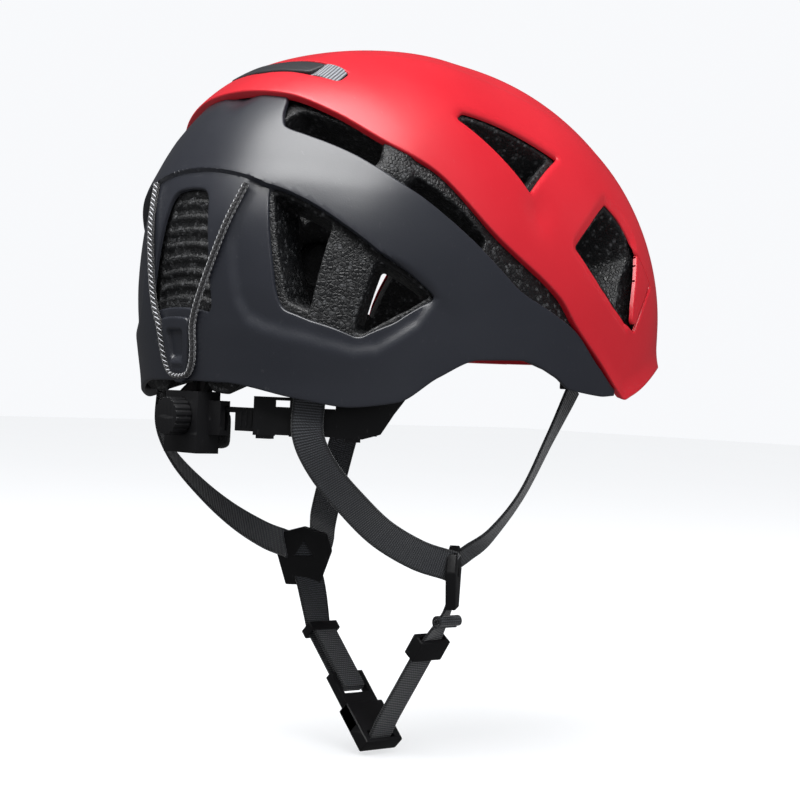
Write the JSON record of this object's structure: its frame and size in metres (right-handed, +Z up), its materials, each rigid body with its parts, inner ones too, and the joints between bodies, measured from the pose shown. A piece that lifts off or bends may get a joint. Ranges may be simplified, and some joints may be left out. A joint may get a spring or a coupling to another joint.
{
  "type": "climbing helmet",
  "caption": "Climbing helmet: red upper and dark grey lower shells on a vented black foam liner, dial-adjusted rear suspension, webbing chin harness with a side release buckle.",
  "frame": {"origin": "centre of the head inside the helmet, level with the middle of the side vents", "axes": "+Z up towards the crown, -Y the way the wearer looks, +X towards the wearer's left; the shells are symmetric about X = 0"},
  "size_m": [0.2208, 0.2888, 0.3542],
  "materials": {
    "red_shell": "satin moulded shell, slightly metallic red",
    "grey_shell": "satin dark blue-grey moulded shell",
    "liner_foam": null,
    "puck_foam": "smooth dark grey foam puck",
    "pad_fabric": "black brushed cushion cloth",
    "elastic_cord": "black elastic cord with light flecks",
    "webbing": "dark grey woven webbing with cross ribs",
    "black_plastic": "black moulded acetal"
  },
  "bodies": {
    "helmet": {"upper_shell": "red_shell", "lower_shell": "grey_shell", "foam_liner": "liner_foam", "crown_puck": "puck_foam", "crown_strap": "webbing", "rear_cord": "elastic_cord", "brow_pad": "pad_fabric", "crown_pad": "pad_fabric", "side_pad_left": "pad_fabric", "side_pad_right": "pad_fabric", "yoke_pins": "black_plastic", "front_anchors": "black_plastic", "front_strap_left": "webbing", "front_strap_right": "webbing", "rear_strap_left": "webbing", "rear_strap_right": "webbing", "divider_left": "black_plastic", "divider_right": "black_plastic", "chin_strap_left": "webbing", "chin_strap_right": "webbing", "strap_tail": "webbing", "buckle_male": "black_plastic", "buckle_female": "black_plastic"},
    "cord_hook": {"cord_hook": "grey_shell"},
    "front_clip_left": {"front_clip_left": "red_shell"},
    "front_clip_right": {"front_clip_right": "red_shell"},
    "suspension": {"adjuster_housing": "black_plastic", "yoke_left": "black_plastic", "yoke_right": "black_plastic", "strut_frame": "black_plastic", "nape_pad": "pad_fabric"},
    "dial": {"adjuster_dial": "black_plastic"},
    "headband_left": {"headband_left": "black_plastic"},
    "headband_right": {"headband_right": "black_plastic"},
    "strap_keeper": {"strap_keeper": "black_plastic"},
    "strap_slider": {"strap_slider": "black_plastic"},
    "prong_front": {"buckle_prong_front": "black_plastic"},
    "prong_rear": {"buckle_prong_rear": "black_plastic"}
  },
  "joints": [
    {"name": "suspension_swing", "type": "hinge", "parent": "helmet", "child": "suspension", "pos_m": [0, 0.052, -0.022], "axis": [-1, 0, 0], "range_deg": [-2, 10]},
    {"name": "headband_right_slide", "type": "hinge", "parent": "suspension", "child": "headband_right", "pos_m": [0, 0.0484, -0.054], "axis": [0, 0, -1], "range_deg": [0, 4.5]},
    {"name": "headband_left_slide", "type": "hinge", "parent": "suspension", "child": "headband_left", "pos_m": [0, 0.0484, -0.054], "axis": [0, 0, 1], "range_deg": [0, 4.5]},
    {"name": "dial_turn", "type": "hinge", "parent": "suspension", "child": "dial", "pos_m": [0, 0.137, -0.054], "axis": [0, 1, 0], "range_deg": [0, 136.7]},
    {"name": "cord_hook_flex", "type": "hinge", "parent": "helmet", "child": "cord_hook", "pos_m": [0, 0.1415, -0.0105], "axis": [1, 0, 0], "range_deg": [0, 5], "stiffness_Nm_per_rad": 0.5},
    {"name": "front_clip_left_flex", "type": "hinge", "parent": "helmet", "child": "front_clip_left", "pos_m": [0.09402, -0.07707, 0.02814], "axis": [0.0147, -0.4423, -0.8968], "range_deg": [0, 6], "stiffness_Nm_per_rad": 0.5},
    {"name": "front_clip_right_flex", "type": "hinge", "parent": "helmet", "child": "front_clip_right", "pos_m": [-0.09402, -0.07707, 0.02814], "axis": [0.0147, 0.4423, 0.8968], "range_deg": [0, 6], "stiffness_Nm_per_rad": 0.5},
    {"name": "keeper_slide", "type": "slide", "parent": "helmet", "child": "strap_keeper", "axis": [-0.6997, 0, -0.7145], "range_m": [0, 0.012]},
    {"name": "slider_slide", "type": "slide", "parent": "helmet", "child": "strap_slider", "axis": [0.5699, 0, -0.8217], "range_m": [0, 0.012]},
    {"name": "prong_front_squeeze", "type": "hinge", "parent": "helmet", "child": "prong_front", "pos_m": [0.00535, 0.0085, -0.19964], "axis": [0.7145, 0, -0.6997], "range_deg": [0, 10], "stiffness_Nm_per_rad": 0.3},
    {"name": "prong_rear_squeeze", "type": "hinge", "parent": "helmet", "child": "prong_rear", "pos_m": [0.00535, 0.0195, -0.19964], "axis": [-0.7145, 0, 0.6997], "range_deg": [0, 10], "stiffness_Nm_per_rad": 0.3}
  ],
  "couplings": [
    {"joint": "headband_left_slide", "follows": "dial_turn", "ratio": 0.032911},
    {"joint": "headband_right_slide", "follows": "dial_turn", "ratio": 0.032911}
  ]
}
